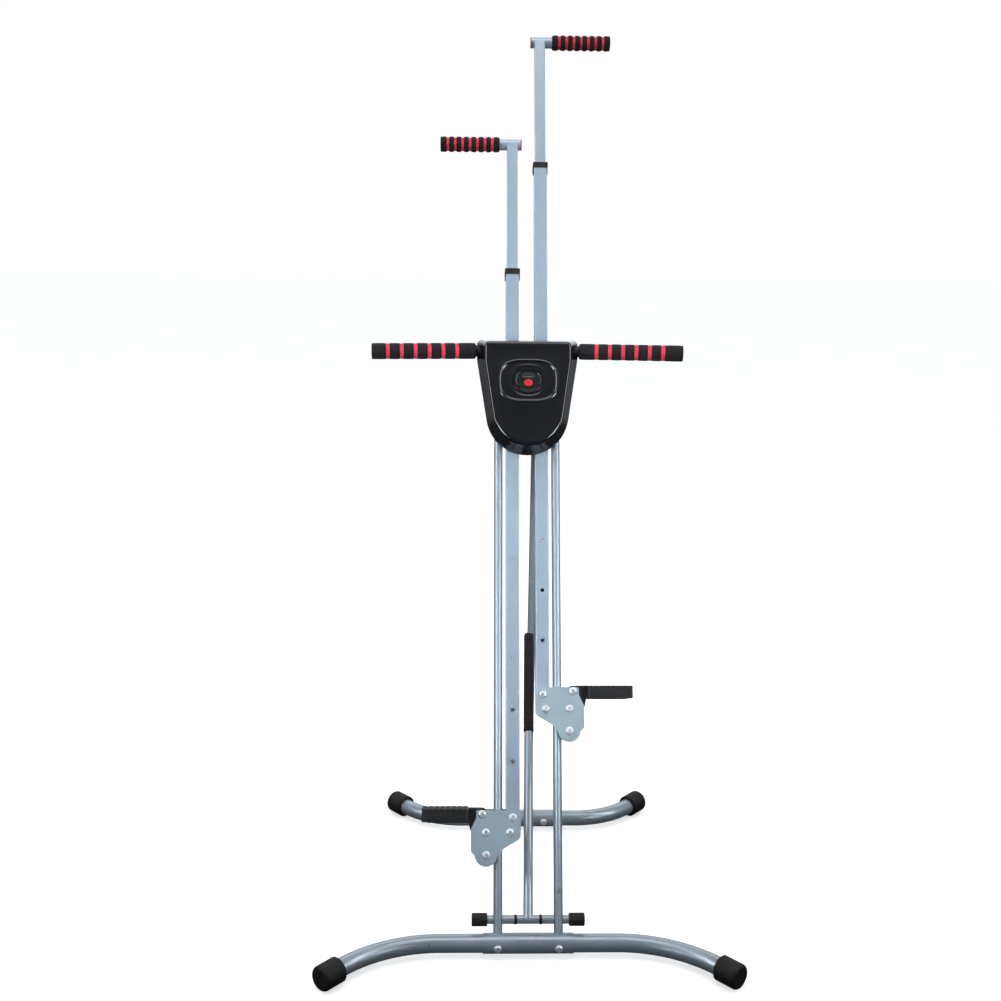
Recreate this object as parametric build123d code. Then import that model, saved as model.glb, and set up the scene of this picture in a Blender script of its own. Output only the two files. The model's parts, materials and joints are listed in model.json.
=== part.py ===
from build123d import *
import os
from math import acos, atan2, cos, hypot, pi, radians, sin

# Vertical climber: two lean-back guide rails on a front base, a folding rear stand, two carriages
# with pedals and telescoping hand poles, a fixed handlebar and a console.
# World frame: X to the user's right, Y away from the user, Z up, origin on the floor.
# Rail frame: x as the world's, y square to the rails and away from the user, z along the rails.

# Driving dimensions, millimetres and degrees
LEAN = 21.66             # rails, back from vertical
FRONT_Y = -314.8         # axis of the front base
BASE_SPAN = 574.0        # front base axis to rear base axis
BASE_Z = 26.0            # height of both base axes
RAIL_X = 64.0            # rail axis from the middle
RAIL_R = 9.5
RAIL_END = 1250.0
ARM_R = 19.0             # base arms
ARM_TURN = 48.0          # each arm's bend
FRONT_BEND = (186.4, 270.8)   # where an arm's bend starts, from the middle, and its radius
REAR_BEND = (143.5, 192.0)
SLEEVE_R = 21.0          # joining sleeves of the bases
SLEEVE_HALF = 95.0
BOLT_DROP = 4.0          # base bolts, below level
CAP_R = 26.6             # rubber feet
TUBE_WALL = 1.6

POLE_X = 32.5
POLE_SIDE = 30.0
INNER_SIDE = 25.0
HOLE_PITCH = 109.6
HOLE_COUNT = 5
LOCKED_HOLE = 2          # index of the hole that the handle tube is locked in
LEFT_STATION = 228.0     # carriage centres along the rails
RIGHT_STATION = 487.0
POLE_START = 21.0        # pole's lower end above its carriage's centre
POLE_END = 1245.0
FIRST_HOLE = 147.0
HANDLE_RISE = 1561.0     # handle axis above the carriage's centre

PLATE_INNER = 15.0       # plates stand this far from the rail plane
PLATE_T = 3.0
ROLLER_U = 25.5          # roller axis from the rail axis
ROLLER_DROP = 46.5       # lower roller below the upper pair
LOBE_R = 24.0            # plate's round end about the lower roller
GROOVE_R = 9.8
PEDAL_PIVOT = (34.0, 38.0)
POLE_BOLT = (-31.5, 31.0)
BOLT_R = 4.0

AXLE_S = 48.0            # lower axle along the rails
AXLE_R = 5.0
HINGE_X = 24.0           # rear strut's plane
HINGE_Y = 62.0
HINGE_S = 1120.0
STRUT_R = 10.0
BRACE_SIDE = 16.6        # brace's upper end, sideways
BRACE_TOP_Z = 543.0
SLEEVE_PAD_R = 11.6
PAD_START = 0.625        # share of the brace below its sleeve
PULLEY_S = 1215.0
PULLEY_Y = 27.0
CABLE_R = 2.0

BAR_S = 1279.0           # handlebar along the rails
BAR_Y = -36.5
BAR_R = 12.7
BAR_BEND = 112.0
GRIP_IN = 116.0
GRIP_OUT = 347.0
BAR_SWEEP = 26.0         # outer ends toward the user
GRIP_R = 18.0

CONSOLE_BACK = -20.0
CONSOLE_SPLIT = -36.0
CONSOLE_FRONT = -78.0
DIAL_S = 1200.5
DIAL = (33.0, 28.5)      # half width and half height of the oval ring round the window
WINDOW = (25.5, 21.5)
BUTTON_S = 1194.5
BUTTON = (9.6, 7.9)

SIDES = (("left", -1, LEFT_STATION), ("right", 1, RIGHT_STATION))

rail_frame = Plane(
    origin=(0, FRONT_Y, BASE_Z),
    x_dir=(1, 0, 0),
    z_dir=(0, sin(radians(LEAN)), cos(radians(LEAN))),
)
REAR_Y = FRONT_Y + BASE_SPAN


# Helpers

def rod(start, end, radius):
    """Solid round bar between two points."""
    run = Vector(*end) - Vector(*start)
    return extrude(Plane(origin=start, z_dir=run) * Circle(radius), run.length)


def tube(start, end, radius, wall=TUBE_WALL):
    return rod(start, end, radius) - rod(start, end, radius - wall)


def slab(x, y, z):
    """Box from three (low, high) pairs."""
    size = [high - low for low, high in (x, y, z)]
    middle = [(high + low) / 2 for low, high in (x, y, z)]
    return Pos(*middle) * Box(*size)


def square_tube(x, side, wall, low, high):
    outer = extrude(Pos(x, 0, low) * RectangleRounded(side, side, 2.5), high - low)
    bore = extrude(Pos(x, 0, low) * RectangleRounded(side - 2 * wall, side - 2 * wall, 1.2), high - low)
    return outer - bore


def on_rails(shape):
    return rail_frame.location * shape


def rail_point(x, y, z):
    """World position of a point in the rail frame."""
    return rail_frame.from_local_coords(Vector(x, y, z))


def facing_user(y):
    """Sketch plane square to the rails' normal: x across, y up the rails, drawn side to the user."""
    return Plane(origin=(0, y, 0), x_dir=(1, 0, 0), z_dir=(0, -1, 0))


def write(name, *solids):
    group = []
    for solid in solids:
        group.extend(solid.solids())
    body = group[0] if len(group) == 1 else Compound(children=group)
    export_step(body, f"parts/{name}.step")


def dome_bolt(length, nut=True):
    """Round-head socket bolt along Z, underside of the head at z = 0, with its nut at the far end."""
    head = Cylinder(8.6, 5.4, align=(Align.CENTER, Align.CENTER, Align.MIN))
    head = fillet(head.edges().group_by(Axis.Z)[-1], 4.6)
    head -= Pos(0, 0, 3.0) * extrude(RegularPolygon(2.4, 6), 4)
    bolt = head + rod((0, 0, 0.5), (0, 0, -length), BOLT_R)
    if not nut:
        return [bolt]
    ring = Pos(0, 0, -length + 1.5) * extrude(RegularPolygon(7.4, 6) - Circle(BOLT_R), 6.4)
    return [bolt, ring]


# Bases

def base_arm(y, side, direction, bend):
    """Arm that runs out straight, then bends toward direction and ends level on the floor height."""
    bend_x, bend_r = bend
    turn = radians(ARM_TURN)
    tail = 44.0
    half = turn / 2

    def along(angle):
        return (side * (bend_x + bend_r * sin(angle)), y + direction * bend_r * (1 - cos(angle)), BASE_Z)

    start = (side * 8.0, y, BASE_Z)
    bend_end = along(turn)
    heading = Vector(side * cos(turn), direction * sin(turn), 0)
    tip = Vector(*bend_end) + heading * tail
    path = Line(start, along(0)) + ThreePointArc(along(0), along(half), bend_end) + Line(bend_end, tip)
    section = Plane(origin=start, z_dir=(side, 0, 0)) * (Circle(ARM_R) - Circle(ARM_R - TUBE_WALL))
    return sweep(section, path=path), tip, heading


def foot_cap(tip, heading):
    """Rubber cup pushed over an arm's end, with a flat where it meets the floor."""
    cover = 42.0
    end_wall = 9.0
    cup = Cylinder(CAP_R, cover + end_wall, align=(Align.CENTER, Align.CENTER, Align.MIN))
    cup = fillet(cup.edges().group_by(Axis.Z)[-1], 7.0)
    cup = chamfer(cup.edges().group_by(Axis.Z)[0], 2.0)
    cup -= Cylinder(ARM_R + 0.05, cover, align=(Align.CENTER, Align.CENTER, Align.MIN))
    placed = Plane(origin=tip - heading * cover, z_dir=heading).location * cup
    return placed - slab((-600, 600), (-900, 900), (-20, 0))


def base(name, y, direction, bend):
    sleeve = tube((-SLEEVE_HALF, y, BASE_Z), (SLEEVE_HALF, y, BASE_Z), SLEEVE_R, SLEEVE_R - ARM_R - 0.05)
    arms = []
    caps = []
    for side in (-1, 1):
        arm, tip, heading = base_arm(y, side, direction, bend)
        arms.append(arm)
        caps.append(foot_cap(tip, heading))
    write(f"{name}_base_sleeve", sleeve)
    write(f"{name}_base_arms", *arms)
    write(f"{name}_foot_caps", *caps)


def base_bolts():
    """Two bolts on the user's side of each sleeve."""
    seat = SLEEVE_R - 1.3
    for name, y in (("front", FRONT_Y), ("rear", REAR_Y)):
        sleeve = rod((-200, y, BASE_Z), (200, y, BASE_Z), SLEEVE_R)
        bolts = []
        for x in (-RAIL_X, RAIL_X):
            place = Pos(x, y, BASE_Z) * Rot(90 + BOLT_DROP, 0, 0) * Pos(0, 0, seat)
            bolts.extend(place * part - sleeve for part in dome_bolt(1.0, nut=False))
        write(f"{name}_base_bolts", *bolts)


# Main frame

def guide_rails():
    sleeve = rod((-200, FRONT_Y, BASE_Z), (200, FRONT_Y, BASE_Z), SLEEVE_R)
    rails = []
    for side in (-1, 1):
        x = side * RAIL_X
        rail = tube((x, 0, 0), (x, 0, RAIL_END), RAIL_R)
        rail -= rod((x - 20, 0, AXLE_S), (x + 20, 0, AXLE_S), AXLE_R)
        rails.append(on_rails(rail) - sleeve)
    write("guide_rails", *rails)


def top_bracket():
    """Two plates with the rail sockets, the handlebar saddles and the stand's hinge ears."""
    half = 79.0
    foot = 1110.0
    front = slab((-half, half), (-20, -17), (foot, 1296))
    rear = slab((-half, half), (17, 20), (foot, 1262))
    rear -= rod((0, 10, PULLEY_S), (0, 30, PULLEY_S), 6.0)
    pieces = [front, rear]
    for side in (-1, 1):
        socket = slab(sorted((side * 49.2, side * half)), (-17, 17), (1185, 1258))
        socket -= rod((side * RAIL_X, 0, 1180), (side * RAIL_X, 0, RAIL_END), RAIL_R)
        saddle = slab(sorted((side * 48, side * 72)), (BAR_Y - 15, -20), (BAR_S - 16, BAR_S + 16))
        saddle -= rod((side * 40, BAR_Y, BAR_S), (side * 80, BAR_Y, BAR_S), BAR_R)
        x = HINGE_X + side * (STRUT_R + 2.6)
        ear = slab((x - 2, x + 2), (20, HINGE_Y), (HINGE_S - 14, HINGE_S + 14))
        ear += rod((x - 2, HINGE_Y, HINGE_S), (x + 2, HINGE_Y, HINGE_S), 14)
        ear -= rod((x - 4, HINGE_Y, HINGE_S), (x + 4, HINGE_Y, HINGE_S), AXLE_R)
        pieces.extend([socket, saddle, ear])
    write("top_bracket", *[on_rails(piece) for piece in pieces])


def pole_guide():
    """Nylon block between the poles inside the bracket."""
    block = slab((-16.9, 16.9), (-17, 17), (1150, 1250))
    block -= rod((0, -20, PULLEY_S), (0, 20, PULLEY_S), 6.0)
    write("pole_guide", on_rails(block))


def top_pins():
    """Pulley axle with its head, and the rear stand's hinge bolt."""
    axle = rod((0, -16, PULLEY_S), (0, PULLEY_Y + 8, PULLEY_S), 6.0)
    axle += rod((0, PULLEY_Y + 6.8, PULLEY_S), (0, PULLEY_Y + 11, PULLEY_S), 10.0)
    reach = STRUT_R + 4.6
    bolt = rod((HINGE_X - reach, HINGE_Y, HINGE_S), (HINGE_X + reach, HINGE_Y, HINGE_S), AXLE_R)
    for side in (-1, 1):
        x = HINGE_X + side * reach
        bolt += rod((x, HINGE_Y, HINGE_S), (x + side * 5, HINGE_Y, HINGE_S), 8.5)
    write("top_pins", on_rails(axle), on_rails(bolt))


def bar_point(x):
    """Point of the handlebar's axis; beyond its bend each side runs level toward the user."""
    beyond = max(0.0, abs(x) - BAR_BEND) * BAR_SWEEP / (GRIP_OUT - BAR_BEND)
    return x, BAR_Y - beyond * cos(radians(LEAN)), BAR_S - beyond * sin(radians(LEAN))


def handlebar():
    tip = GRIP_OUT - 2
    points = [bar_point(x) for x in (-tip, -BAR_BEND, BAR_BEND, tip)]
    path = FilletPolyline(*points, radius=60)
    start = Plane(origin=points[0], z_dir=Vector(*points[1]) - Vector(*points[0]))
    bar = sweep(start * (Circle(BAR_R) - Circle(BAR_R - TUBE_WALL)), path=path)
    write("handlebar_tube", on_rails(bar))
    grips = []
    for side in (-1, 1):
        near = bar_point(side * GRIP_IN)
        grip = rod(near, bar_point(side * GRIP_OUT), GRIP_R)
        grips.append(on_rails(grip - rod(near, bar_point(side * tip), BAR_R + 0.02)))
    write("handlebar_grips", *grips)


# Console

def console_outline(y, half, top, bottom, bottom_r, corner):
    """Shield: level top with round corners, sides that narrow, and a round foot."""
    centre = bottom + bottom_r
    shoulder = top - 42.0
    reach = hypot(half, shoulder - centre)
    touch = atan2(shoulder - centre, half) - acos(bottom_r / reach)
    side_x = bottom_r * cos(touch)
    side_s = centre + bottom_r * sin(touch)
    diagonal = corner * (1 - cos(pi / 4))
    edges = [
        Line((-half + corner, top), (half - corner, top)),
        ThreePointArc((half - corner, top), (half - diagonal, top - diagonal), (half, top - corner)),
        Line((half, top - corner), (half, shoulder)),
        Line((half, shoulder), (side_x, side_s)),
        ThreePointArc((side_x, side_s), (0, bottom), (-side_x, side_s)),
        Line((-side_x, side_s), (-half, shoulder)),
        Line((-half, shoulder), (-half, top - corner)),
        ThreePointArc((-half, top - corner), (-half + diagonal, top - diagonal), (-half + corner, top)),
    ]
    return facing_user(y) * make_face(edges)


def oval(y, s, half, depth, grow=0.0):
    """Oval post on the console's middle line from depth position y toward the user."""
    return extrude(facing_user(y) * Pos(0, s) * Ellipse(half[0] + grow, half[1] + grow), depth)


def console():
    wall = 3.0
    rim = dict(half=113.0, top=1305.0, bottom=1044.0, bottom_r=92.0, corner=12.0)
    face = dict(half=94.0, top=1289.0, bottom=1056.0, bottom_r=77.0, corner=10.0)

    def shrunk(outline, inset):
        return dict(
            half=outline["half"] - inset,
            top=outline["top"] - inset,
            bottom=outline["bottom"] + inset,
            bottom_r=outline["bottom_r"] - inset,
            corner=outline["corner"] - inset,
        )

    bar_way = rod((-200, BAR_Y, BAR_S), (200, BAR_Y, BAR_S), BAR_R + 0.7)
    back = extrude(console_outline(CONSOLE_BACK, **rim), CONSOLE_BACK - CONSOLE_SPLIT)
    hollow = console_outline(CONSOLE_BACK - 2.5, **shrunk(rim, wall))
    back -= extrude(hollow, CONSOLE_BACK - CONSOLE_SPLIT)
    for side in (-1, 1):
        back -= slab(sorted((side * 47.5, side * 72.5)), (-30, -15), (BAR_S - 16.5, BAR_S + 16.5))
    screw_spots = ((-96, 1240), (96, 1240), (-60, 1086), (60, 1086))
    screws = []
    for x, s in screw_spots:
        back -= rod((x, CONSOLE_BACK + 1, s), (x, CONSOLE_BACK - 4, s), 1.8)
        screw = rod((x, CONSOLE_BACK, s), (x, CONSOLE_BACK + 2.4, s), 4.0)
        screws.append(on_rails(screw + rod((x, CONSOLE_BACK + 0.5, s), (x, CONSOLE_BACK - 9, s), 1.7)))
    write("console_back", on_rails(back - bar_way))
    write("console_screws", *screws)

    shell = loft([console_outline(CONSOLE_SPLIT, **rim), console_outline(CONSOLE_FRONT, **face)])
    shell = fillet(shell.faces().sort_by(Axis.Y)[0].edges(), 5.0)
    inside = loft([
        console_outline(CONSOLE_SPLIT, **shrunk(rim, wall)),
        console_outline(CONSOLE_FRONT + 5.0, **shrunk(face, wall)),
    ])
    recess = facing_user(CONSOLE_FRONT + 2.0) * Pos(0, DIAL_S) * RectangleRounded(124, 92, 34)
    shell = shell - inside - extrude(recess, 10)
    shell -= oval(-60, BUTTON_S, BUTTON, 30, 0.5)
    write("console_face", on_rails(shell - bar_way))

    floor = CONSOLE_FRONT + 2.0
    ring = oval(floor, DIAL_S, DIAL, 6)
    ring = chamfer(ring.edges().group_by(Axis.Y)[0], 3.0)
    ring -= oval(floor + 1, DIAL_S, WINDOW, 9, 0.1)
    write("console_bezel", on_rails(ring))

    lens = oval(floor, DIAL_S, WINDOW, 3) - oval(floor + 1, BUTTON_S, BUTTON, 6, 0.5)
    write("console_lens", on_rails(lens))

    button = oval(floor + 10, BUTTON_S, BUTTON, 17)
    button = fillet(button.edges().group_by(Axis.Y)[0], 2.5)
    button += oval(floor + 5, BUTTON_S, BUTTON, 1.8, 2.5)
    write("console_button", on_rails(button))


# Lower axle and brace

def lower_axle():
    axle = rod((-112, 0, AXLE_S), (112, 0, AXLE_S), AXLE_R)
    write("lower_axle", on_rails(axle))
    spacers = []
    washers = []
    for side in (-1, 1):
        for low, high in ((RAIL_X + RAIL_R, 86), (29.2, RAIL_X - RAIL_R)):
            spacers.append(tube((side * low, 0, AXLE_S), (side * high, 0, AXLE_S), 9.0, 3.95))
        washers.append(tube((side * 23.6, 0, AXLE_S), (side * 29.2, 0, AXLE_S), 10.0, 4.95))
    write("axle_spacers", *[on_rails(piece) for piece in spacers])
    write("axle_washers", *[on_rails(piece) for piece in washers])


def knobs():
    """Knurled screw knobs on the ends of the lower axle."""
    length = 33.0
    knurls = 28
    knob_r = 13.6
    for name, side, _ in SIDES:
        knob = chamfer(Cylinder(knob_r, length).edges().filter_by(GeomType.CIRCLE), 1.5)
        for index in range(knurls):
            groove = Pos(knob_r + 0.4, 0, 0) * Cylinder(0.9, length + 2)
            knob -= Rot(0, 0, index * 360 / knurls) * groove
        knob = Pos(side * (86.3 + length / 2), 0, AXLE_S) * Rot(0, 90, 0) * knob
        knob -= rod((side * 80, 0, AXLE_S), (side * 112.3, 0, AXLE_S), AXLE_R + 0.06)
        write(f"{name}_knob", on_rails(knob))


def strut_y(z):
    """Y of the strut's axis at a height."""
    foot = Vector(HINGE_X, REAR_Y, BASE_Z)
    top = rail_point(HINGE_X, HINGE_Y, HINGE_S)
    return foot.Y + (top.Y - foot.Y) * (z - foot.Z) / (top.Z - foot.Z)


def brace_frame():
    """Foot, end, direction up the brace and the square direction below it."""
    foot = rail_point(0, 0, AXLE_S)
    end = Vector(BRACE_SIDE, strut_y(BRACE_TOP_Z - 9) - STRUT_R - 13.5, BRACE_TOP_Z)
    climb = atan2(end.Z - foot.Z, end.Y - foot.Y)
    along = Vector(0, cos(climb), sin(climb))
    below = Vector(0, sin(climb), -cos(climb))
    return foot, end, along, below


def in_plane(x, origin, points, depth):
    """Plate of a depth centred on x, from (y, z) corners beside an origin."""
    corners = [(origin.Y + y, origin.Z + z) for y, z in points]
    plane = Plane(origin=(x - depth / 2, 0, 0), x_dir=(0, 1, 0), z_dir=(1, 0, 0))
    return extrude(plane * make_face(Polyline(*corners, close=True)), depth)


def brace():
    """Prop from the lower axle to the strut, hooked from above over the strut's cross pin."""
    foot, end, along, below = brace_frame()
    axis = end - foot
    hub = tube((-23, foot.Y, foot.Z), (23, foot.Y, foot.Z), 9.0, 3.94)
    bar = rod(foot, end, STRUT_R) - rod(foot, end, STRUT_R - TUBE_WALL)
    bar -= rod((-23, foot.Y, foot.Z), (23, foot.Y, foot.Z), 8.9)
    bar -= rod(foot - axis.normalized() * 20, foot + axis.normalized() * 2, 30)
    plug = rod(end - axis.normalized() * 6, end, STRUT_R - TUBE_WALL)

    pin = end - along * 14 + below * 20
    slope = Vector(0, strut_y(pin.Z - 1) - strut_y(pin.Z), -1).normalized()
    toward = Vector(0, -slope.Z, slope.Y)

    def corner(q, w):
        place = toward * q + slope * w
        return place.Y, place.Z

    hook = in_plane(BRACE_SIDE, pin, [corner(*c) for c in ((-17, -13), (9, -13), (9, 6), (-17, 6))], 5.0)
    slot = in_plane(BRACE_SIDE, pin, [corner(*c) for c in ((-6, -6), (5.2, -6), (5.2, 9), (-6, 9))], 8.0)
    corner_cut = in_plane(BRACE_SIDE, pin, [corner(*c) for c in ((-19, -3), (-6, 4), (-6, 9), (-19, 9))], 8.0)
    inner = rod(foot, end, STRUT_R - TUBE_WALL)
    hook = hook - slot - corner_cut - inner
    write("brace_tube", hub + bar + plug + hook)

    pad_start = foot + axis * PAD_START
    pad_end = end - axis.normalized() * 1.5
    pad = rod(pad_start, pad_end, SLEEVE_PAD_R) - rod(foot, end, STRUT_R + 0.02)
    around = [corner(*c) for c in ((-18, -14), (10, -14), (10, 10), (-18, 10))]
    pad -= in_plane(BRACE_SIDE, pin, around, 5.4)
    write("brace_sleeve", pad)

    ears = []
    for side in (-1, 1):
        x = BRACE_SIDE + side * 6.2
        back = strut_y(pin.Z) - pin.Y
        ear = in_plane(x, pin, [(0, -6), (back, -6), (back, 6), (0, 6)], 4.0)
        ear += rod((x - 2, pin.Y, pin.Z), (x + 2, pin.Y, pin.Z), 6.0)
        ears.append(ear)
    cross = rod((BRACE_SIDE - 8.2, pin.Y, pin.Z), (BRACE_SIDE + 8.2, pin.Y, pin.Z), 3.5)
    return ears[0] + ears[1] + cross


# Rear stand

def rear_stand(catch):
    foot = Vector(HINGE_X, REAR_Y, BASE_Z)
    top = rail_point(HINGE_X, HINGE_Y, HINGE_S)
    run = (top - foot).normalized()
    core = rod(foot, top + run * STRUT_R, STRUT_R)
    strut = core - rod(foot, top - run * 14, STRUT_R - TUBE_WALL)
    strut -= rod((HINGE_X - 20, top.Y, top.Z), (HINGE_X + 20, top.Y, top.Z), AXLE_R + 0.06)
    strut -= rod((-60, REAR_Y, BASE_Z), (60, REAR_Y, BASE_Z), SLEEVE_R)
    strut += catch - rod(foot, top, STRUT_R - TUBE_WALL)
    write("rear_strut", strut)


# Pulley and cable

def pulley():
    rim_r = POLE_X + 4.0
    half = 6.0
    wheel = rod((0, PULLEY_Y - half, PULLEY_S), (0, PULLEY_Y + half, PULLEY_S), rim_r)
    groove_r = CABLE_R + 0.3
    flank = rod((0, PULLEY_Y - groove_r, PULLEY_S), (0, PULLEY_Y + groove_r, PULLEY_S), rim_r + 5)
    flank -= rod((0, PULLEY_Y - groove_r, PULLEY_S), (0, PULLEY_Y + groove_r, PULLEY_S), POLE_X)
    wheel -= flank
    wheel -= Location((0, PULLEY_Y, PULLEY_S), (90, 0, 0)) * Torus(POLE_X, groove_r)
    wheel -= rod((0, 0, PULLEY_S), (0, 60, PULLEY_S), 6.06)
    for index in range(5):
        turn = radians(90 + index * 72)
        x = 20 * cos(turn)
        s = PULLEY_S + 20 * sin(turn)
        wheel -= rod((x, 0, s), (x, 60, s), 6.5)
    write("pulley", on_rails(wheel))


def cable():
    """Cable over the pulley, then straight down to the lug on each carriage's pole."""
    crown = PULLEY_S + POLE_X
    arc = ThreePointArc((POLE_X, PULLEY_Y, PULLEY_S), (0, PULLEY_Y, crown), (-POLE_X, PULLEY_Y, PULLEY_S))
    section = Plane(origin=(POLE_X, PULLEY_Y, PULLEY_S), z_dir=(0, 0, 1)) * Circle(CABLE_R)
    write("cable_wrap", on_rails(sweep(section, path=arc)))
    for name, side, station in SIDES:
        x = side * POLE_X
        run = rod((x, PULLEY_Y, station + 66), (x, PULLEY_Y, PULLEY_S - 0.5), CABLE_R)
        write(f"{name}_cable_run", on_rails(run))


# Carriages

def plate_outline(side, station, trimmed):
    """Carriage plate: pole wing at the inner top, pedal side outward, round lobe at the lower roller."""
    full_wing = [(-11.5, -34), (-44, -15), (-48, -8), (-49, 46)]
    cut_wing = [(-12, -26), (-36, -14), (-36, 14), (-21, 21), (-21, 46)]
    wing = cut_wing if trimmed else full_wing
    pedal_side = [(46.5, 46), (46.5, 30), (57.5, 7), (57.5, -40), (46, -52)]
    neck = [(6, -56), (-3.5, -44)]
    face = make_face(Polyline(*wing, *pedal_side, *neck, close=True))
    outer_corners = face.vertices().filter_by(lambda v: abs(v.X) > 30 and v.Y > -45 or v.Y > 20)
    face = fillet(outer_corners, 3.0)
    face += Pos(ROLLER_U, -ROLLER_DROP) * Circle(LOBE_R)
    if side < 0:
        face = mirror(face, about=Plane.YZ)
    return Pos(side * RAIL_X, station) * face


def roller():
    """Grooved nylon roller along Z with the rail's shape turned into its rim."""
    half = 11.0
    rim = 20.0
    bore = BOLT_R + 0.05
    edge = (GROOVE_R**2 - (ROLLER_U - rim) ** 2) ** 0.5
    lines = [
        Line((bore, -half), (rim, -half)),
        Line((rim, -half), (rim, -edge)),
        ThreePointArc((rim, -edge), (ROLLER_U - GROOVE_R, 0), (rim, edge)),
        Line((rim, edge), (rim, half)),
        Line((rim, half), (bore, half)),
        Line((bore, half), (bore, -half)),
    ]
    profile = Plane.XZ * make_face(lines)
    return revolve(profile, Axis.Z)


def carriage(name, side, station):
    def place(u, v):
        return side * (RAIL_X + u), station + v

    roller_spots = {"upper": (ROLLER_U, 0), "inner": (-ROLLER_U, 0), "lower": (ROLLER_U, -ROLLER_DROP)}
    bolt_spots = [*roller_spots.values(), PEDAL_PIVOT]

    for plate, y, trimmed in (("front", -PLATE_INNER, False), ("rear", PLATE_INNER + PLATE_T, True)):
        body = extrude(facing_user(y) * plate_outline(side, station, trimmed), PLATE_T)
        for u, v in [*bolt_spots, POLE_BOLT]:
            x, s = place(u, v)
            body -= rod((x, -30, s), (x, 30, s), BOLT_R)
        write(f"{name}_{plate}_plate", on_rails(body))

    fasteners = []
    for u, v in [*bolt_spots, POLE_BOLT]:
        x, s = place(u, v)
        depth = 2 * PLATE_INNER + (PLATE_T if (u, v) == POLE_BOLT else 2 * PLATE_T)
        front = Pos(x, -PLATE_INNER - PLATE_T, s) * Rot(90, 0, 0)
        fasteners.extend(front * part for part in dome_bolt(depth + 7.9))
    for u, v in roller_spots.values():
        x, s = place(u, v)
        for low, high in ((-PLATE_INNER, -11.2), (11.2, PLATE_INNER)):
            fasteners.append(tube((x, low, s), (x, high, s), 7.0, 7.0 - BOLT_R))
    write(f"{name}_carriage_bolts", *[on_rails(part) for part in fasteners])

    for spot, (u, v) in roller_spots.items():
        x, s = place(u, v)
        write(f"{name}_{spot}_roller", on_rails(Pos(x, 0, s) * Rot(90, 0, 0) * roller()))


def pole(name, side, station):
    x = side * POLE_X
    low = station + POLE_START
    high = station + POLE_END
    body = square_tube(x, POLE_SIDE, 1.5, low, high)
    body += slab((x - 6, x + 6), (15, PULLEY_Y + 3), (station + 54, station + 66))
    for index in range(HOLE_COUNT):
        s = station + FIRST_HOLE + index * HOLE_PITCH
        body -= rod((x, -16, s), (x, -10, s), 4.2)
    bolt_x = side * (RAIL_X + POLE_BOLT[0])
    s = station + POLE_BOLT[1]
    body -= rod((bolt_x, -20, s), (bolt_x, 20, s), BOLT_R)
    write(f"{name}_pole", on_rails(body))

    half = POLE_SIDE / 2
    outer = half + 2.2
    collar = slab((x - outer, x + outer), (-outer, outer), (high - 4.5, high + 9))
    collar = chamfer(collar.edges().group_by(Axis.Z)[-1], 2.2)
    for edge in (x - outer, x + half - 1):
        collar += slab((edge, edge + 3.2), (-9, 9), (high - 14, high))
    way = half + 0.02
    collar -= slab((x - way, x + way), (-way, way), (high - 20, high))
    way = INNER_SIDE / 2 + 0.35
    collar -= slab((x - way, x + way), (-way, way), (high - 1, high + 20))
    write(f"{name}_pole_collar", on_rails(collar))


def pedal(name, side, station):
    pivot_u, pivot_v = PEDAL_PIVOT
    pivot_x = side * (RAIL_X + pivot_u)
    pivot_s = station + pivot_v

    def plate(points, front, back):
        corners = [(side * (RAIL_X + u), station + v) for u, v in points]
        return extrude(facing_user(back) * make_face(Polyline(*corners, close=True)), back - front)

    reach = PLATE_INNER - 0.5
    boss_r = 11.5
    root = [(pivot_u, pivot_v - boss_r), (64, 24), (64, 50), (pivot_u, pivot_v + boss_r)]
    arm = plate(root, -reach, reach)
    arm += rod((pivot_x, -reach, pivot_s), (pivot_x, reach, pivot_s), boss_r)
    wedge = plate([(44, 30), (64, 30), (59.5, 5), (52, 5)], -reach, reach)
    deck = plate([(62, 21), (150, 21), (150, 25), (62, 25)], -30, 55)
    bracket = arm + wedge + deck
    bracket -= rod((pivot_x, -30, pivot_s), (pivot_x, 30, pivot_s), BOLT_R + 0.05)
    write(f"{name}_pedal_bracket", on_rails(bracket))

    low_u, lip_u, high_u = 64.2, 150.5, 162.0
    outline = [(low_u, 25.05), (lip_u, 25.05), (lip_u, 22.5), (high_u, 22.5), (high_u, 49.5), (low_u, 49.5)]
    tread = plate(outline, -35, 60)
    tread = fillet(tread.edges().filter_by(Axis.Z).filter_by(lambda edge: edge.length > 20), 6.0)
    for index in range(7):
        u = low_u + 10 + index * 12.5
        tread -= plate([(u, 47.9), (u + 3, 47.9), (u + 3, 52), (u, 52)], -37, 62)
    write(f"{name}_pedal_tread", on_rails(tread))


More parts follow.
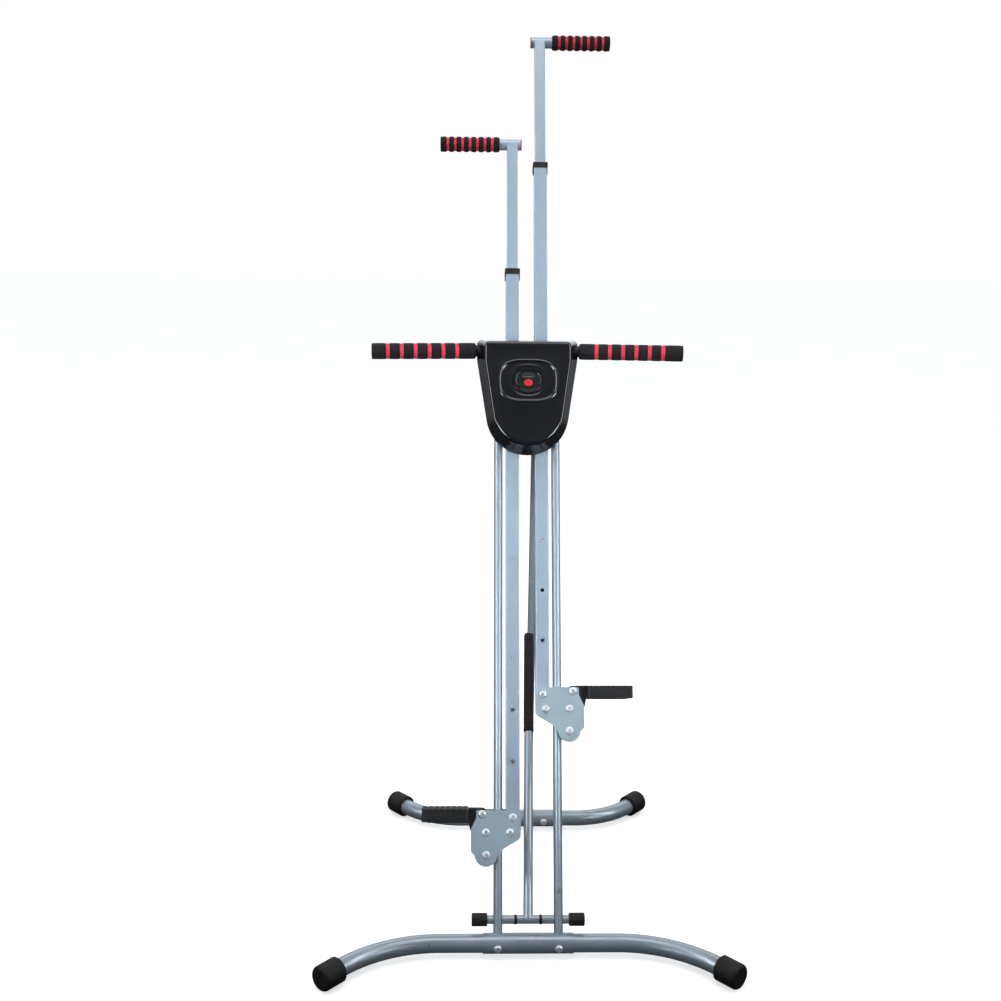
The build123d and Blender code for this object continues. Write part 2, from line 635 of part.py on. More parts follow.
def hand_pole(name, side, station):
    x = side * POLE_X
    button_s = station + FIRST_HOLE + LOCKED_HOLE * HOLE_PITCH
    top = station + HANDLE_RISE
    stub = side * 13.5
    shoulder = side * 62.0
    grip_end = side * 200.0

    stem = square_tube(x, INNER_SIDE, 1.5, button_s - 18, top)
    stem -= rod((stub, 0, top), (shoulder, 0, top), BAR_R - 0.18)
    stem -= rod((x, -16, button_s), (x, -10, button_s), 3.7)
    crossbar = tube((stub, 0, top), (grip_end - side * 3, 0, top), BAR_R - 0.2)
    write(f"{name}_inner_tube", on_rails(stem), on_rails(crossbar))

    grip = rod((shoulder, 0, top), (grip_end, 0, top), GRIP_R - 0.4)
    grip -= rod((shoulder, 0, top), (grip_end - side * 3, 0, top), BAR_R - 0.18)
    write(f"{name}_handle_grip", on_rails(grip))

    plug = rod((stub - side * 3, 0, top), (stub, 0, top), BAR_R - 0.2)
    plug += rod((stub, 0, top), (stub + side * 9, 0, top), BAR_R - 0.2 - TUBE_WALL - 0.02)
    write(f"{name}_handle_plug", on_rails(plug))

    button = rod((x, -13.2, button_s), (x, -8.5, button_s), 3.6)
    button = fillet(button.edges().group_by(Axis.Y)[0], 1.6)
    button += rod((x, -10.8, button_s), (x, -9.0, button_s), 5.5)
    write(f"{name}_snap_button", on_rails(button))


def main():
    os.makedirs("parts", exist_ok=True)
    base("front", FRONT_Y, -1, FRONT_BEND)
    base("rear", REAR_Y, 1, REAR_BEND)
    base_bolts()
    guide_rails()
    top_bracket()
    pole_guide()
    top_pins()
    handlebar()
    console()
    lower_axle()
    knobs()
    rear_stand(brace())
    pulley()
    cable()
    for name, side, station in SIDES:
        carriage(name, side, station)
        pole(name, side, station)
        pedal(name, side, station)
        hand_pole(name, side, station)


main()
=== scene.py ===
# Vertical climber: materials, soft and detailed pieces, camera, floor and light, built round the
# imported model.
# The row frame is in metres: X to the user's right, Y away from the user, Z up.
# The rail frame is in millimetres: x as in the row frame, y square to the rails and away from the
# user, s up along the rails.
import json
from math import acos, atan2, cos, hypot, pi, radians, sin

import bpy
from mathutils import Matrix, Vector


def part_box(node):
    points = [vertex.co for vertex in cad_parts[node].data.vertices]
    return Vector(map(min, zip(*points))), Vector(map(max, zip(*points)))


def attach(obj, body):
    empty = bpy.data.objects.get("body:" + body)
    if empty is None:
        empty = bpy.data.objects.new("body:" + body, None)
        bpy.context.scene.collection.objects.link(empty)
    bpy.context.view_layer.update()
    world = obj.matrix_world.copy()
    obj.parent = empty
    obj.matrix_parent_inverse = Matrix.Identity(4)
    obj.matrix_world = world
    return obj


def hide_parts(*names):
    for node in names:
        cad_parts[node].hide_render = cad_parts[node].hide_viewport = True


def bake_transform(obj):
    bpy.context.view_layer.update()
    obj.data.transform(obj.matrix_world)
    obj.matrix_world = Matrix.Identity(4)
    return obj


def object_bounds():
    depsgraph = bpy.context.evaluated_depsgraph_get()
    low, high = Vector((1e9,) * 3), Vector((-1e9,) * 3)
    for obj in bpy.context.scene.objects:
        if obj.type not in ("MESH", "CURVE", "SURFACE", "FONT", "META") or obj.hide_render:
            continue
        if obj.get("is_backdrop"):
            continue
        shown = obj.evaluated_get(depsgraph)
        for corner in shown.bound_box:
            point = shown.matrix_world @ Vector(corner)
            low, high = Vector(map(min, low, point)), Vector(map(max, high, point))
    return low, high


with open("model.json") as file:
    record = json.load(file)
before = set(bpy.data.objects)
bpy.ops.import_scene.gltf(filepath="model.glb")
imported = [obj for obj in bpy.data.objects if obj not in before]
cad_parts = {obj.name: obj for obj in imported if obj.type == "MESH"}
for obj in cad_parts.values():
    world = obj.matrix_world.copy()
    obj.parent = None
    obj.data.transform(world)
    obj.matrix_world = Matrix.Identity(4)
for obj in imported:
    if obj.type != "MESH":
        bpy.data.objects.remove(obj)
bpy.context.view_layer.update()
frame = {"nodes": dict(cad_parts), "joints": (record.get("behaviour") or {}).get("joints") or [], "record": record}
nodes = frame["nodes"]
joints = {joint["name"]: joint for joint in frame["joints"]}
SIDES = (("left", -1), ("right", 1))
MM = 0.001
RANGE_SOCKETS = ("From Min", "From Max", "To Min", "To Max")

RAIL_ORIGIN = Vector((0.0, -0.3148, 0.026))
ALONG = Vector(joints["left_slide"]["axis"]).normalized()
BACK = Vector(joints["pulley_spin"]["axis"]).normalized()


def rail(x, y, s):
    """Row-frame point of a rail-frame point."""
    return RAIL_ORIGIN + (Vector((x, 0, 0)) + BACK * y + ALONG * s) * MM


# Materials

class Shader:
    """Node tree of one material with a Principled shader, fed by object-space textures."""

    def __init__(self, name, roughness, metallic=0.0, **sockets):
        self.material = bpy.data.materials.new(name)
        self.material.use_nodes = True
        self.tree = self.material.node_tree
        self.tree.nodes.clear()
        output = self.add("ShaderNodeOutputMaterial")
        self.bsdf = self.add("ShaderNodeBsdfPrincipled")
        self.link(self.bsdf.outputs[0], output.inputs["Surface"])
        self.bsdf.inputs["Roughness"].default_value = roughness
        self.bsdf.inputs["Metallic"].default_value = metallic
        for socket, value in sockets.items():
            self.bsdf.inputs[socket.replace("_", " ")].default_value = value
        self.place = self.add("ShaderNodeTexCoord").outputs["Object"]
        self.height = None

    def add(self, kind, **settings):
        node = self.tree.nodes.new(kind)
        for key, value in settings.items():
            setattr(node, key, value)
        return node

    def link(self, source, target):
        self.tree.links.new(source, target)

    def stretched(self, scale):
        mapping = self.add("ShaderNodeMapping")
        mapping.inputs["Scale"].default_value = scale
        self.link(self.place, mapping.inputs["Vector"])
        return mapping.outputs["Vector"]

    def noise(self, scale, detail=3.0, rough=0.55, vector=None):
        node = self.add("ShaderNodeTexNoise")
        node.inputs["Scale"].default_value = scale
        node.inputs["Detail"].default_value = detail
        node.inputs["Roughness"].default_value = rough
        self.link(vector or self.place, node.inputs["Vector"])
        return node.outputs["Fac"]

    def cells(self, scale):
        node = self.add("ShaderNodeTexVoronoi", feature="F1")
        node.inputs["Scale"].default_value = scale
        self.link(self.place, node.inputs["Vector"])
        return node.outputs["Distance"]

    def ranged(self, value, low, high, out_low, out_high):
        node = self.add("ShaderNodeMapRange")
        self.link(value, node.inputs["Value"])
        for socket, number in zip(RANGE_SOCKETS, (low, high, out_low, out_high)):
            node.inputs[socket].default_value = number
        return node.outputs["Result"]

    def mixed(self, factor, first, second):
        node = self.add("ShaderNodeMix", data_type="RGBA")
        self.link(factor, node.inputs["Factor"])
        for socket, value in (("A", first), ("B", second)):
            target = next(s for s in node.inputs if s.name == socket and s.type == "RGBA")
            if isinstance(value, bpy.types.NodeSocket):
                self.link(value, target)
            else:
                target.default_value = (*value, 1.0)
        return next(s for s in node.outputs if s.type == "RGBA")

    def colour(self, first, second, scale, low=0.35, high=0.65, **noise):
        """Base colour drifting between two tones."""
        tone = self.mixed(self.ranged(self.noise(scale, **noise), low, high, 0.0, 1.0), first, second)
        self.link(tone, self.bsdf.inputs["Base Color"])
        return tone

    def worn(self, tone, colour, scale, threshold, spread=0.04, **noise):
        """Sparse marks of another colour over the tone, such as scuffs or dust."""
        marks = self.ranged(self.noise(scale, **noise), threshold, threshold + spread, 0.0, 1.0)
        result = self.mixed(marks, tone, colour)
        self.link(result, self.bsdf.inputs["Base Color"])
        return marks

    def roughness(self, scale, low, high, **noise):
        self.link(self.ranged(self.noise(scale, **noise), 0.2, 0.8, low, high), self.bsdf.inputs["Roughness"])

    def bump(self, value, strength, distance):
        node = self.add("ShaderNodeBump")
        node.inputs["Strength"].default_value = strength
        node.inputs["Distance"].default_value = distance
        self.link(value, node.inputs["Height"])
        if self.height:
            self.link(self.height, node.inputs["Normal"])
        self.height = node.outputs["Normal"]
        self.link(self.height, self.bsdf.inputs["Normal"])


def powder_coat(name, light, dark, roughness, metallic):
    """Satin silver powder coat: orange peel, fine flake and a faint bloom of dust."""
    shader = Shader(name, roughness, metallic, Coat_Weight=0.3, Coat_Roughness=0.16)
    tone = shader.colour(light, dark, 3.0, detail=4.0)
    shader.worn(tone, [c * 1.08 for c in light], 90.0, 0.55, spread=0.35, detail=3.0)
    shader.roughness(26.0, roughness - 0.08, roughness + 0.10, detail=2.0)
    shader.bump(shader.noise(420.0, detail=2.0), 0.16, 0.0004)
    shader.bump(shader.noise(2600.0, detail=1.0), 0.10, 0.0001)
    return shader.material


def black_coat():
    shader = Shader("black_powder_coat", 0.42, Specular_IOR_Level=0.35)
    tone = shader.colour((0.008, 0.008, 0.0095), (0.013, 0.012, 0.0125), 22.0)
    shader.worn(tone, (0.045, 0.043, 0.041), 60.0, 0.76, detail=9.0, rough=0.75)
    shader.roughness(45.0, 0.34, 0.52)
    shader.bump(shader.noise(520.0, detail=2.0), 0.25, 0.0004)
    return shader.material


def rubber():
    shader = Shader("foot_rubber", 0.62, Specular_IOR_Level=0.26)
    tone = shader.colour((0.0045, 0.0042, 0.0042), (0.0085, 0.0078, 0.0075), 30.0)
    shader.worn(tone, (0.022, 0.020, 0.018), 26.0, 0.68, spread=0.16, detail=9.0, rough=0.7)
    shader.roughness(70.0, 0.52, 0.74)
    shader.bump(shader.cells(900.0), 0.25, 0.0004)
    return shader.material


def foam(name, light, dark, dust):
    """Closed-cell foam: fine open pores over a softly uneven skin."""
    shader = Shader(name, 0.85, Specular_IOR_Level=0.2, Sheen_Weight=0.05, Sheen_Roughness=0.6)
    tone = shader.colour(light, dark, 85.0, detail=5.0)
    shader.worn(tone, dust, 300.0, 0.67, spread=0.1, detail=6.0)
    shader.roughness(140.0, 0.74, 0.93)
    shader.bump(shader.noise(110.0, detail=3.0), 0.35, 0.0012)
    shader.bump(shader.cells(1300.0), 0.5, 0.0005)
    return shader.material


def gloss_black():
    """Polished moulding with hairline handling scratches and a breath of dust."""
    shader = Shader("gloss_black_moulding", 0.14, IOR=1.46, Coat_Weight=0.25, Coat_Roughness=0.06)
    tone = shader.colour((0.0055, 0.0055, 0.0075), (0.008, 0.008, 0.010), 9.0)
    shader.worn(tone, (0.03, 0.03, 0.032), 700.0, 0.72, detail=2.0)
    shader.roughness(11.0, 0.10, 0.20, detail=6.0)
    shader.bump(shader.noise(75.0, detail=1.0), 0.05, 0.0006)
    shader.bump(shader.noise(60.0, detail=3.0, vector=shader.stretched((1.0, 14.0, 22.0))), 0.02, 0.0003)
    return shader.material


def matte_black(name, light, dark, low, high, grain):
    shader = Shader(name, (low + high) / 2, Specular_IOR_Level=0.3)
    tone = shader.colour(light, dark, 40.0)
    shader.worn(tone, [c * 3.5 + 0.02 for c in light], 75.0, 0.72, detail=8.0, rough=0.7)
    shader.roughness(60.0, low, high)
    shader.bump(shader.cells(grain), 0.35, 0.0004)
    return shader.material


def zinc():
    shader = Shader("bright_zinc", 0.3, 0.55)
    shader.colour((0.86, 0.88, 0.90), (0.70, 0.73, 0.77), 120.0, detail=5.0)
    shader.roughness(180.0, 0.24, 0.40)
    shader.bump(shader.noise(900.0, detail=3.0), 0.15, 0.0002)
    return shader.material


def cable_wire():
    shader = Shader("cable_wire", 0.34, 1.0)
    shader.colour((0.48, 0.49, 0.52), (0.30, 0.31, 0.33), 400.0, detail=4.0)
    shader.roughness(300.0, 0.26, 0.45)
    shader.bump(shader.noise(3000.0, detail=2.0), 0.2, 0.0002)
    return shader.material


def smoked_window():
    shader = Shader("smoked_window", 0.06, Coat_Weight=0.6, Coat_Roughness=0.03)
    shader.colour((0.006, 0.008, 0.010), (0.010, 0.012, 0.013), 16.0)
    shader.roughness(20.0, 0.04, 0.12)
    shader.bump(shader.noise(50.0, detail=1.0), 0.03, 0.0004)
    return shader.material


def display_glass():
    shader = Shader("display_glass", 0.2, Coat_Weight=0.5, Coat_Roughness=0.05)
    shader.colour((0.009, 0.020, 0.017), (0.014, 0.028, 0.024), 60.0)
    shader.roughness(90.0, 0.14, 0.26)
    shader.bump(shader.cells(1500.0), 0.08, 0.0002)
    return shader.material


def red_gloss():
    shader = Shader("red_gloss", 0.2, Coat_Weight=0.4, Coat_Roughness=0.08)
    shader.colour((0.72, 0.022, 0.018), (0.60, 0.014, 0.014), 90.0)
    shader.roughness(120.0, 0.16, 0.30)
    shader.bump(shader.noise(260.0, detail=2.0), 0.08, 0.0003)
    return shader.material


steel = powder_coat("silver_powder_coat", (0.33, 0.385, 0.435), (0.29, 0.34, 0.39), 0.33, 0.35)
pole_steel = powder_coat("pole_powder_coat", (0.40, 0.49, 0.585), (0.355, 0.44, 0.53), 0.36, 0.30)
plate_steel = powder_coat("plate_powder_coat", (0.42, 0.52, 0.585), (0.375, 0.47, 0.535), 0.38, 0.25)
black_foam = foam("black_foam", (0.0075, 0.006, 0.007), (0.013, 0.010, 0.0115), (0.03, 0.026, 0.026))
red_foam = foam("red_foam", (0.86, 0.055, 0.095), (0.74, 0.040, 0.070), (0.90, 0.20, 0.22))
wire = cable_wire()

SLOT_MATERIAL = {
    "painted_steel": steel,
    "pole_steel": pole_steel,
    "plate_steel": plate_steel,
    "black_painted_steel": black_coat(),
    "black_rubber": rubber(),
    "black_foam": black_foam,
    "bolt_steel": zinc(),
    "console_gloss": gloss_black(),
    "matte_black_plastic": matte_black(
        "matte_black_moulding", (0.007, 0.0068, 0.007), (0.011, 0.0102, 0.010), 0.44, 0.60, 1100.0),
    "display_lens": smoked_window(),
    "button_red": red_gloss(),
    "roller_nylon": matte_black(
        "roller_nylon", (0.045, 0.045, 0.048), (0.060, 0.058, 0.058), 0.34, 0.5, 700.0),
    "cable_steel": wire,
    "tread_plastic": matte_black(
        "tread_moulding", (0.008, 0.0078, 0.0085), (0.014, 0.0125, 0.013), 0.40, 0.58, 620.0),
}

for part in frame["record"]["subparts"]:
    node = nodes[part["node"]]
    node.data.materials.clear()
    node.data.materials.append(SLOT_MATERIAL[part["material_slot"]])


# Mesh helpers

def make_piece(name, points, faces, materials, body, slot, stands_for=(), face_material=None):
    """Piece from row-frame points, riding on a body if one is given and left free otherwise."""
    mesh = bpy.data.meshes.new(name)
    mesh.from_pydata([tuple(p) for p in points], [], faces)
    for material in materials:
        mesh.materials.append(material)
    if face_material:
        mesh.polygons.foreach_set("material_index", face_material)
    mesh.validate()
    mesh.update()
    piece = bpy.data.objects.new(name, mesh)
    bpy.context.scene.collection.objects.link(piece)
    mesh.shade_smooth()
    mesh.set_sharp_from_angle(angle=radians(38))
    if body:
        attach(piece, body)
    if stands_for:
        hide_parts(*stands_for)
    return piece


def ring_quads(rings, count):
    """Quads between successive rings of count points."""
    faces = []
    for ring in range(rings - 1):
        for k in range(count):
            a = ring * count + k
            b = ring * count + (k + 1) % count
            faces.append((a, a + count, b + count, b))
    return faces


def capped(rings, count):
    """Faces of a stack of rings with a flat cap at each end."""
    first = tuple(range(count))
    last = tuple(range(rings * count - 1, (rings - 1) * count - 1, -1))
    return ring_quads(rings, count) + [first, last]


def looped(rings, count):
    """Faces of a stack of rings whose last ring joins back to the first."""
    last = (rings - 1) * count
    closing = [(last + k, k, (k + 1) % count, last + (k + 1) % count) for k in range(count)]
    return ring_quads(rings, count) + closing


def lathe(name, start, end, profile, count=72, **piece):
    """Turned piece: profile gives (distance along, radius) pairs, or triples with a material index."""
    axis = (end - start).normalized()
    side = axis.orthogonal().normalized()
    up = axis.cross(side)
    points = []
    for entry in profile:
        along, radius = entry[0], entry[1]
        for k in range(count):
            turn = 2 * pi * k / count
            points.append(start + axis * along + (side * cos(turn) + up * sin(turn)) * radius)
    index = [entry[2] if len(entry) > 2 else 0 for entry in profile[:-1] for k in range(count)] + [0, 0]
    return make_piece(name, points, capped(len(profile), count), face_material=index, **piece)


# Foam grips

BLACK, RED = 0, 1
FOAMS = [black_foam, red_foam]
FOAM_EDGE = 0.0035


def ridge(low, high, radius, drop):
    """Crowned black ridge between two grooves, lower by drop at its edges."""
    steps = 6
    return [
        (low + (high - low) * k / steps, radius - drop * abs(2 * k / steps - 1) ** 2.6, BLACK)
        for k in range(steps + 1)
    ]


def groove(low, high, radius, depth):
    """Red ring at the bottom of a shallow groove."""
    return [
        (low, radius - depth * 0.6, RED),
        (low + 0.0006, radius - depth, RED),
        ((low + high) / 2, radius - depth * 0.8, RED),
        (high - 0.0006, radius - depth, RED),
        (high, radius - depth * 0.6, BLACK),
    ]


def foam_grip(name, start, end, radius, bore, bands, ridge_drop, groove_depth, body, stands_for):
    """Foam sleeve with a closed outer end. Bands are the red rings' (low, high) distances from start."""
    length = (end - start).length
    edge = FOAM_EDGE
    profile = [
        (length - 0.003, bore, BLACK), (0.0, bore, BLACK),
        (0.0, radius - edge, BLACK), (edge * 0.3, radius - edge * 0.3, BLACK),
    ]
    ridge_start = edge
    for low, high in bands:
        profile += ridge(ridge_start, low, radius, ridge_drop)
        profile += groove(low, high, radius, groove_depth)
        ridge_start = high
    profile += ridge(ridge_start, length - edge, radius, ridge_drop)
    for step in range(5):
        turn = step / 4 * pi / 2
        profile.append((length - edge + edge * sin(turn), radius - edge * (1 - cos(turn)), BLACK))
    profile += [(length - 0.0012, radius * 0.45, BLACK), (length - 0.0018, radius * 0.15, BLACK)]
    grip = lathe(
        name, start, end, profile, materials=FOAMS, body=body, slot="black_foam", stands_for=stands_for)


def even_bands(first, pitch, count, width):
    return [(first + pitch * k - width / 2, first + pitch * k + width / 2) for k in range(count)]


HANDLE_BANDS = 7

for side, sign in SIDES:
    low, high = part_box(f"{side}_handle_grip")
    middle = (low + high) / 2
    inner = Vector((low.x if sign > 0 else high.x, middle.y, middle.z))
    outer = Vector((high.x if sign > 0 else low.x, middle.y, middle.z))
    pitch = (outer - inner).length / (HANDLE_BANDS + 1)
    foam_grip(
        f"{side}_handle_foam", inner, outer, 0.0176, 0.01255,
        even_bands(pitch, pitch, HANDLE_BANDS, 0.0062), 0.0011, 0.0026,
        f"{side}_handle", (f"{side}_handle_grip",))

# Handlebar: its middle along and behind the rails, where its straight part ends, and the slope beyond
BAR_S, BAR_Y, BAR_BEND, BAR_SLOPE = 1279.0, -36.5, 112.0, 26.0 / 235.0
BAR_GRIP = (116.0, 347.0)
BAR_BANDS = 6
LEAN = atan2(ALONG.y, ALONG.z)


def bar_point(x):
    """Point of the handlebar's axis: beyond its bend each side runs level toward the user."""
    beyond = (abs(x) - BAR_BEND) * BAR_SLOPE
    return rail(x, BAR_Y - beyond * cos(LEAN), BAR_S - beyond * sin(LEAN))


for side, sign, first, pitch in (("left", -1, 0.0430, 0.0308), ("right", 1, 0.0400, 0.0295)):
    start, end = (bar_point(sign * x) for x in BAR_GRIP)
    foam_grip(
        f"{side}_bar_foam", start, end, 0.018, 0.01275,
        even_bands(first, pitch, BAR_BANDS, 0.0084), 0.0003, 0.0010, "frame", ("handlebar_grips",))


# Foam sleeve of the brace

STRUT_FOOT = Vector((0.024, 0.2592, 0.026))
PIN_HEIGHT = 0.534
BRACE_TOP_X, BRACE_TOP_INSET, BRACE_TOP_HEIGHT = 0.0166, 0.0235, 0.543
SLEEVE_FROM = 0.625
SLEEVE_R, SLEEVE_BORE = 0.0117, 0.0102


def brace_foam():
    """Thin foam sleeve, a little uneven along its length, over the brace's upper part."""
    hinge = Vector(joints["stand_fold"]["pos_m"])
    foot = Vector(joints["brace_swing"]["pos_m"])
    climb = (PIN_HEIGHT - STRUT_FOOT.z) / (hinge.z - STRUT_FOOT.z)
    pin_y = STRUT_FOOT.y + (hinge.y - STRUT_FOOT.y) * climb
    top = Vector((BRACE_TOP_X, pin_y - BRACE_TOP_INSET, BRACE_TOP_HEIGHT))
    start = foot.lerp(top, SLEEVE_FROM)
    end = top - (top - foot).normalized() * 0.0015
    length = (end - start).length
    profile = [(0.0, SLEEVE_BORE), (0.0, SLEEVE_R - 0.0015), (0.0016, SLEEVE_R - 0.0002)]
    profile += [
        (0.004 + (length - 0.008) * k / 40, SLEEVE_R + 0.00014 * sin(k * 2.3) * sin(k * 0.7))
        for k in range(41)
    ]
    profile += [(length - 0.0016, SLEEVE_R - 0.0002), (length, SLEEVE_R - 0.0016), (length, SLEEVE_BORE)]
    sleeve = lathe(
        "brace_foam", start, end, profile, materials=[black_foam],
        body="brace", slot="black_foam", stands_for=("brace_sleeve",))


brace_foam()


# Wire rope: six strands round a core, twisted along its line

def wire_rope(name, line, radius, body, stands_for):
    """Rope along a list of points, with its strands wound once every lay."""
    count, lay = 36, 0.028
    points = []
    travelled = 0.0
    side = None
    for k, here in enumerate(line):
        ahead = (line[min(k + 1, len(line) - 1)] - line[max(k - 1, 0)]).normalized()
        side = (side - ahead * side.dot(ahead)).normalized() if side else ahead.orthogonal().normalized()
        up = ahead.cross(side)
        travelled += (here - line[k - 1]).length if k else 0.0
        for j in range(count):
            turn = 2 * pi * j / count
            bulge = abs(cos(3 * turn))
            spot = turn + 2 * pi * travelled / lay
            points.append(here + (side * cos(spot) + up * sin(spot)) * radius * (0.80 + 0.20 * bulge))
    return make_piece(name, points, capped(len(line), count), [wire], body, "cable_steel", stands_for)


PULLEY_S, PULLEY_Y, PULLEY_R, CABLE_R = 1215.0, 27.0, 32.5, 0.0019
CARRIAGE_S = {"left": 228.0, "right": 487.0}
CABLE_CLAMP = 66.0
CABLE_STEP = 0.0025

wrap = [
    rail(PULLEY_R * cos(pi * k / 60), PULLEY_Y, PULLEY_S + PULLEY_R * sin(pi * k / 60))
    for k in range(61)
]
wire_rope("cable_over_pulley", wrap, CABLE_R, "frame", ("cable_wrap",))
for side, sign in SIDES:
    top = rail(sign * PULLEY_R, PULLEY_Y, PULLEY_S - 0.5)
    foot = rail(sign * PULLEY_R, PULLEY_Y, CARRIAGE_S[side] + CABLE_CLAMP)
    steps = int((top - foot).length / CABLE_STEP)
    run = wire_rope(
        f"{side}_cable", [top.lerp(foot, k / steps) for k in range(steps + 1)], CABLE_R,
        None, (f"{side}_cable_run",))
    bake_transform(run)


# Console, built from rings of rail-frame points (x, s, y)

RING_POINTS = 220
GLOSS = SLOT_MATERIAL["console_gloss"]
FACE_MIDDLE = 1190.0
DIAL_S, BUTTON_S = 1200.5, 1194.5
DIAL, WINDOW, BUTTON = (33.0, 28.5), (25.5, 21.5), (9.6, 7.9)
SPLIT_Y, FRONT_Y = -36.0, -78.0
DIAL_FLOOR = FRONT_Y + 2.0
RIM = {"half": 113.0, "top": 1305.0, "bottom": 1044.0, "bottom_r": 92.0, "corner": 12.0}
FACE = {"half": 94.0, "top": 1289.0, "bottom": 1056.0, "bottom_r": 77.0, "corner": 10.0}
SHOULDER_DROP = 42.0


def shield(half, top, bottom, bottom_r, corner):
    """Outline of the console as a closed line of (x, s): level top, narrowing sides, round foot."""
    centre = bottom + bottom_r
    shoulder = top - SHOULDER_DROP
    touch = atan2(shoulder - centre, half) - acos(bottom_r / hypot(half, shoulder - centre))
    right = []
    for k in range(25):
        turn = pi / 2 * (1 - k / 24)
        right.append((half - corner + corner * cos(turn), top - corner + corner * sin(turn)))
    right.append((half, shoulder))
    for k in range(81):
        turn = touch + (-pi / 2 - touch) * k / 80
        right.append((bottom_r * cos(turn), centre + bottom_r * sin(turn)))
    return right + [(-x, s) for x, s in reversed(right)]


def rays():
    """Directions (across, up) of the rays that place one point of every ring."""
    turns = [2 * pi * (k + 0.5) / RING_POINTS for k in range(RING_POINTS)]
    return [(sin(turn), cos(turn)) for turn in turns]


def shield_ring(outline, y):
    """The shield's outline cut by rays from the face's middle, at depth y."""
    outline = shield(**outline)
    ring = []
    for dx, ds in rays():
        best = 0.0
        for (x1, s1), (x2, s2) in zip(outline, outline[1:] + outline[:1]):
            s1 -= FACE_MIDDLE
            s2 -= FACE_MIDDLE
            ex, es = x2 - x1, s2 - s1
            cross = dx * es - ds * ex
            if abs(cross) < 1e-9:
                continue
            reach = (x1 * es - s1 * ex) / cross
            across = (x1 * ds - s1 * dx) / cross
            if reach > 0 and -1e-6 <= across <= 1 + 1e-6:
                best = max(best, reach)
        ring.append((dx * best, FACE_MIDDLE + ds * best, y))
    return ring


def oval_ring(half_x, half_s, power, middle, y):
    """Superellipse ring: power 2 is an ellipse, and more squares it off."""
    ring = []
    for dx, ds in rays():
        reach = (abs(dx / half_x) ** power + abs(ds / half_s) ** power) ** (-1 / power)
        ring.append((dx * reach, middle + ds * reach, y))
    return ring


def shrunk(outline, inset):
    """The outline set in on every side."""
    keys = ("half", "top", "bottom", "bottom_r")
    change = (-inset, -inset, inset, -inset)
    smaller = {key: outline[key] + by for key, by in zip(keys, change)}
    return smaller | {"corner": max(outline["corner"] - inset, 2.0)}


def between(first, second, t):
    """Outline part of the way from the first to the second."""
    return {key: first[key] + (second[key] - first[key]) * t for key in first}


def ringed_piece(name, rings, to_faces, material, slot, stands_for=()):
    """Piece of the frame from rings, closed by the capped or looped way of joining them."""
    points = [rail(x, y, s) for ring in rings for x, s, y in ring]
    faces = to_faces(len(rings), RING_POINTS)
    make_piece(name, points, faces, [material], "frame", slot, stands_for)


def console_face():
    """Moulded shell: sloping walls, rounded edge, raised surround of the dial, and its hollow back."""
    edge, wall, lip, steps = 7.5, 3.0, 0.8, 8
    depth = SPLIT_Y - FRONT_Y
    wall_share = 1 - edge / depth
    back_y = FRONT_Y + 5.0
    rings = [shield_ring(shrunk(RIM, lip), SPLIT_Y), shield_ring(RIM, SPLIT_Y - lip)]
    for k in range(1, steps + 1):
        t = k / steps * wall_share
        rings.append(shield_ring(between(RIM, FACE, t), SPLIT_Y - depth * t))
    shoulder = between(RIM, FACE, wall_share)
    for k in range(1, steps + 1):
        turn = k / steps * pi / 2
        inset = edge * (1 - cos(turn)) + 0.8 * k / steps
        rings.append(shield_ring(shrunk(shoulder, inset), FRONT_Y + edge - edge * sin(turn)))
    flat = shrunk(shoulder, edge + 1.3)
    for inset, rise in ((2.0, 0.0), (6.0, 0.0), (7.2, 0.35), (8.6, 0.5)):
        rings.append(shield_ring(shrunk(flat, inset), FRONT_Y + rise))
    raised = ((3.0, 0.5), (1.4, 0.0), (0.4, -0.6), (-0.8, -0.5), (-2.2, 0.7), (-3.4, 1.6), (-5.2, 2.0))
    for grow, drop in raised:
        rings.append(oval_ring(64.0 + grow, 46.5 + grow, 3.0, DIAL_S, FRONT_Y + drop))
    moat = ((15.0, 2.1), (11.0, 1.4), (8.6, 0.8), (7.0, 0.9), (5.2, 1.8), (2.6, 2.0))
    for grow, drop in moat:
        rings.append(oval_ring(
            DIAL[0] + grow, DIAL[1] + grow * 0.8, 2.0 + grow * 0.03, DIAL_S, FRONT_Y + drop))
    hole = (BUTTON[0] + 0.5, BUTTON[1] + 0.5)
    rings += [
        oval_ring(WINDOW[0] + 3.0, WINDOW[1] + 3.0, 2.0, DIAL_S, DIAL_FLOOR),
        oval_ring(*hole, 2.0, BUTTON_S, DIAL_FLOOR),
        oval_ring(*hole, 2.0, BUTTON_S, back_y),
        oval_ring(40.0, 40.0, 2.0, DIAL_S, back_y),
        shield_ring(shrunk(FACE, wall + 2.0), back_y),
        shield_ring(shrunk(RIM, wall), SPLIT_Y),
    ]
    ringed_piece("console_front", rings, looped, GLOSS, "console_gloss", ("console_face",))


def dial_ring():
    """Two crowned steps round the window, the inner one standing prouder."""
    span = (DIAL[0] - WINDOW[0], DIAL[1] - WINDOW[1])
    section = [
        (0.0, 0.30), (0.0, 1.0), (2.6, 0.98), (4.0, 0.90), (4.9, 0.76), (4.7, 0.66), (3.9, 0.58), (3.9, 0.53),
        (5.2, 0.44), (5.8, 0.35), (5.7, 0.27), (4.6, 0.12), (3.5, 0.03), (3.15, 0.0), (3.1, 0.08), (3.1, 0.30),
    ]
    rings = [
        oval_ring(WINDOW[0] + span[0] * t, WINDOW[1] + span[1] * t, 2.0, DIAL_S, DIAL_FLOOR - rise)
        for rise, t in section
    ]
    ringed_piece("console_dial_ring", rings, looped, GLOSS, "console_gloss", ("console_bezel",))


